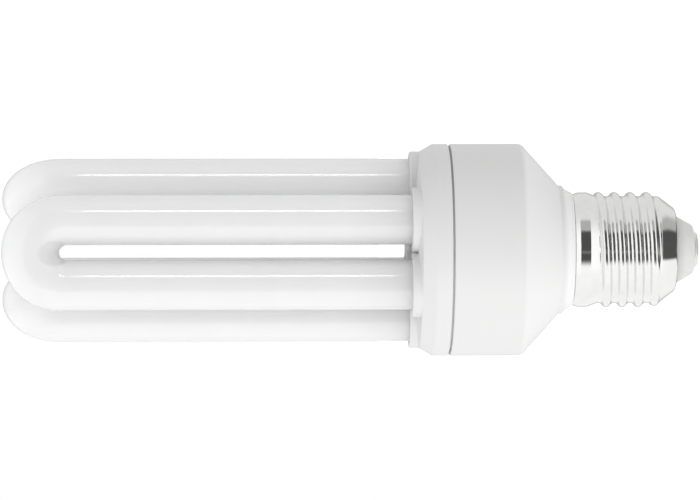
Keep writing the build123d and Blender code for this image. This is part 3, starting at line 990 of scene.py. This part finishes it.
reflected = choose(tree, angle_ramp(tree, from_front, *back_start, 0.0, 1.0), reflected, back_level)
ray = tree.nodes.new("ShaderNodeLightPath")
unseen = choose(tree, ray.outputs["Is Glossy Ray"], fill, reflected)
strength = choose(tree, ray.outputs["Is Camera Ray"], unseen, 1.0)
background = tree.nodes["Background"]
background.inputs["Color"].default_value = (1, 1, 1, 1)
tree.links.new(strength, background.inputs["Strength"])


def add_panel(name, turn, distance, height, size, watts):
    """A rectangular lamp at an angle round the lamp axis from the front, turned to the object."""
    data = bpy.data.lights.new(name, "AREA")
    data.shape = "RECTANGLE"
    data.size, data.size_y = size
    data.energy = watts
    lamp = bpy.data.objects.new(name, data)
    bpy.context.scene.collection.objects.link(lamp)
    back = Vector((sin(turn), -cos(turn), 0))
    across = Vector((0, 0, 1)).cross(back)
    lamp.matrix_world = Matrix.Translation(back * distance + Vector((0, 0, height))) @ Matrix(
        (across, Vector((0, 0, 1)), back)
    ).transposed().to_4x4()
    lamp.visible_camera = False
    return lamp


lamp_middle = (cad_box[0].z + cad_box[1].z) / 2
panel_distance = 1.2
panel_size = (0.9, 0.7)
key = add_panel("soft_panel", radians(-40), panel_distance, lamp_middle, panel_size, watts=5.3)
key.visible_glossy = False
key_lit = bpy.data.collections.new("all_but_glass")
for piece in (contact, insulator, sleeve, housing, holder):
    key_lit.objects.link(piece)
key.light_linking.receiver_collection = key_lit

# The glass glows through and through, so its light comes softer and from more sides
tips_height = 1.0
tips_distance = 0.3
tips_size = (0.7, 0.7)
card_distance = 1.0
card_size = (1.77, 0.8)
strip_distance = 0.6
strip_height = 90.5 * MM
strip_size = (0.12, 0.111)
strip_side_fade = 0.45
strip_end_fade = 0.09
glass_lit = bpy.data.collections.new("glass_only")
glass_lit.objects.link(glass)
below = add_panel("glass_below", radians(-75), panel_distance, lamp_middle, panel_size, watts=2.5)
over_tips = add_panel("glass_tips", 0, tips_distance, tips_height, tips_size, watts=1.15)
from_bends = over_tips.location - Vector((0, 0, bend_height))
over_tips.rotation_euler = from_bends.to_track_quat("Z", "Y").to_euler()
before = add_panel("glass_front", radians(-5), panel_distance, lamp_middle, panel_size, watts=1.4)
card = add_panel("side_card", radians(-68), card_distance, lamp_middle, card_size, watts=2.5)
strip = add_panel("slim_strip", radians(43), strip_distance, strip_height, strip_size, watts=0.34)
for lamp in (below, before, over_tips):
    lamp.visible_glossy = False
for lamp in (before, over_tips):
    lamp.data.use_shadow = False
for lamp in (card, strip):
    lamp.visible_diffuse = False
for lamp in (below, before, over_tips, card, strip):
    lamp.light_linking.receiver_collection = glass_lit


def fade_edges(tree, value, edge):
    """1 in the middle of a parameter that runs from 0 to 1, and 0 at both ends."""
    from_middle = math_value(tree, "ABSOLUTE", math_value(tree, "SUBTRACT", value, 0.5))
    return ramp(tree, from_middle, 0.5 - edge, 0.5, 1.0, 0.0)


# The strip is a soft tube: it fades to its sides and ends
strip.data.use_nodes = True
tree = strip.data.node_tree
place = tree.nodes.new("ShaderNodeNewGeometry")
split = tree.nodes.new("ShaderNodeSeparateXYZ")
tree.links.new(place.outputs["Parametric"], split.inputs["Vector"])
across_strip = fade_edges(tree, split.outputs["X"], strip_side_fade)
along_strip = fade_edges(tree, split.outputs["Y"], strip_end_fade)
glow = math_value(tree, "MULTIPLY", across_strip, along_strip)
tree.links.new(glow, tree.nodes["Emission"].inputs["Strength"])

# Camera: level with the lamp and far off with a long lens, lying on its side so that the lamp's
# axis runs across the picture with the cap on the right.
picture_width = 700
mm_per_pixel = 0.2265
camera_distance = 1.36
picture_middle = Vector((0, 0, 0.0789))
turn_to_tips = radians(2.5)
turn_to_side = radians(2.2)
camera_data = bpy.data.cameras.new("photo_camera")
camera_data.sensor_width = 36.0
camera_data.lens = camera_data.sensor_width * camera_distance / (picture_width * mm_per_pixel * MM)
camera = bpy.data.objects.new("photo_camera", camera_data)
bpy.context.scene.collection.objects.link(camera)
back = Vector(
    (cos(turn_to_tips) * sin(turn_to_side), -cos(turn_to_tips) * cos(turn_to_side), sin(turn_to_tips))
)
right = Vector((1, 0, 0)).cross(back).normalized()
upward = back.cross(right)
camera.matrix_world = Matrix.Translation(picture_middle + back * camera_distance) @ Matrix(
    (right, upward, back)
).transposed().to_4x4()
bpy.context.scene.camera = camera
bpy.context.scene.view_settings.view_transform = "Standard"
